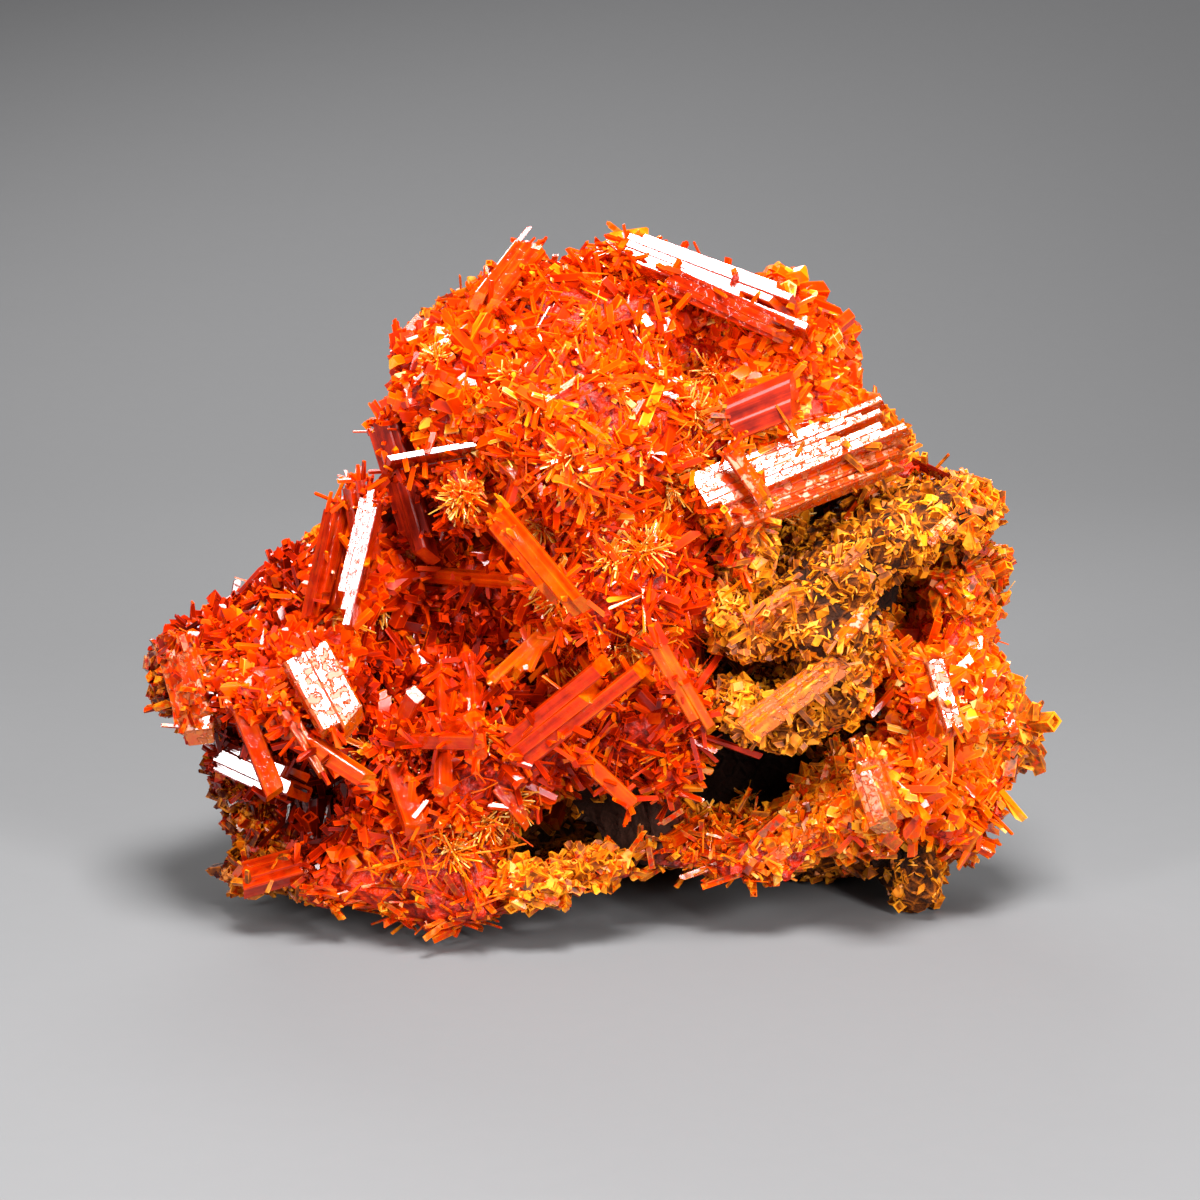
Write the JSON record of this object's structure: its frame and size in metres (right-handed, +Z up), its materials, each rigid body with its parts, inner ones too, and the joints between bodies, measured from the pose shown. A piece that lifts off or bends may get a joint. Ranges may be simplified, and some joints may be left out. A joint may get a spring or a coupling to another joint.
{
  "type": "crocoite specimen",
  "caption": "Hand-sized crocoite specimen: orange-red prisms and striated blades crusting a slab of rusty gossan, standing on its own flat underside.",
  "frame": {"origin": "bottom centre of the specimen's box, on the surface that it rests on", "axes": "+Z up; +X to the right along the specimen's width, seen from its crusted face; the crusted face looks towards -Y and the bare rock towards +Y"},
  "size_m": [0.1001, 0.0574, 0.074],
  "materials": {
    "gossan": "matte rusty brown limonite, ochre yellow in its boxwork",
    "crust_crystals": "glossy intergrown orange-red crystals",
    "large_crystals": "bright adamantine orange-red crystal faces with lengthwise striations",
    "maroon_crystal": "bright adamantine deep red crystal faces",
    "stained_crystal": "striated crystal stained with ochre"
  },
  "bodies": {
    "root": {"base_block": "large_crystals", "burst_prisms": "large_crystals", "crossed_prisms": "large_crystals", "crystal_crust": "crust_crystals", "dark_prism": "maroon_crystal", "etched_tablet": "large_crystals", "flash_prism": "maroon_crystal", "gossan_matrix": "gossan", "leaning_prism": "large_crystals", "left_blades": "large_crystals", "low_prism": "large_crystals", "middle_prism": "large_crystals", "nub_slab": "large_crystals", "ochre_blade": "stained_crystal", "orange_prism": "large_crystals", "peak_prism": "large_crystals", "plum_prism": "maroon_crystal", "red_slab": "large_crystals", "right_lobe_blade": "large_crystals", "shadow_prism": "large_crystals", "striated_blades": "large_crystals", "tip_prisms": "large_crystals", "top_blade": "large_crystals", "top_left_prism": "large_crystals", "waist_prism": "large_crystals"}
  },
  "joints": []
}
